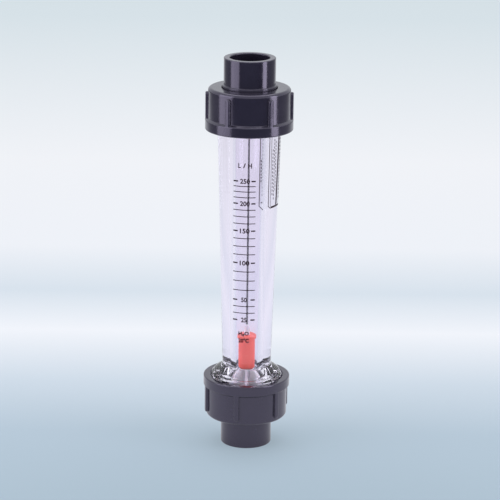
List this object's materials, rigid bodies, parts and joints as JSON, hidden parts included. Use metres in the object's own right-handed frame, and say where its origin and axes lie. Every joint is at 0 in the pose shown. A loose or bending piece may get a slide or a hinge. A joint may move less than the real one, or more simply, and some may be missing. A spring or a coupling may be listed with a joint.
{
  "type": "rotameter",
  "caption": "In-line variable area flow meter with a clear tapered body, a red float on a guide rod and a union nut with a pipe socket at each end.",
  "frame": {"origin": "centre of the inlet pipe socket's end face, on the axis of the meter, which is its lowest point when it stands upright", "axes": "+Z along the flow from the inlet at the bottom to the outlet at the top; -Y towards the reader, the side that carries the scale"},
  "size_m": [0.0446, 0.0446, 0.204],
  "materials": {
    "clear_acrylic": "clear moulded acrylic, polished",
    "grey_pvc": "dark grey PVC, smooth moulded",
    "red_plastic": "red plastic, smooth",
    "natural_plastic": "natural white plastic",
    "stainless_steel": "drawn stainless steel",
    "black_rubber": "black nitrile rubber",
    "white_silicone": "white silicone rubber",
    "clear_film": "clear adhesive film with thin dark rules"
  },
  "bodies": {
    "meter_body": {"metering_tube": "clear_acrylic", "data_label": "clear_film", "guide_rod": "stainless_steel", "lower_rod_spider": "natural_plastic", "upper_rod_spider": "natural_plastic", "lower_rubber_stop": "white_silicone", "upper_rubber_stop": "white_silicone", "lower_rod_washer": "stainless_steel", "upper_rod_washer": "stainless_steel", "lower_rod_nut": "stainless_steel", "upper_rod_nut": "stainless_steel"},
    "float": {"float_shell": "red_plastic", "float_cap": "red_plastic", "float_weight": "stainless_steel", "float_upper_bush": "natural_plastic", "float_lower_bush": "natural_plastic"},
    "inlet_end": {"inlet_socket": "grey_pvc", "inlet_o_ring": "black_rubber"},
    "inlet_nut": {"inlet_union_nut": "grey_pvc"},
    "outlet_end": {"outlet_socket": "grey_pvc", "outlet_o_ring": "black_rubber"},
    "outlet_nut": {"outlet_union_nut": "grey_pvc"}
  },
  "joints": [
    {"name": "float_rise", "type": "slide", "parent": "meter_body", "child": "float", "axis": [0, 0, 1], "range_m": [0, 0.0983]},
    {"name": "inlet_end_draw", "type": "slide", "parent": "meter_body", "child": "inlet_end", "axis": [0, 0, -1], "range_m": [0, 0.0135]},
    {"name": "inlet_nut_turn", "type": "hinge", "parent": "inlet_end", "child": "inlet_nut", "pos_m": [0, 0, 0.026], "axis": [0, 0, -1], "range_deg": [0, 1620]},
    {"name": "outlet_end_draw", "type": "slide", "parent": "meter_body", "child": "outlet_end", "axis": [0, 0, 1], "range_m": [0, 0.0135]},
    {"name": "outlet_nut_turn", "type": "hinge", "parent": "outlet_end", "child": "outlet_nut", "pos_m": [0, 0, 0.178], "axis": [0, 0, 1], "range_deg": [0, 1620]}
  ],
  "couplings": [
    {"joint": "inlet_end_draw", "follows": "inlet_nut_turn", "m_per_rad": 0.00047746},
    {"joint": "outlet_end_draw", "follows": "outlet_nut_turn", "m_per_rad": 0.00047746}
  ]
}
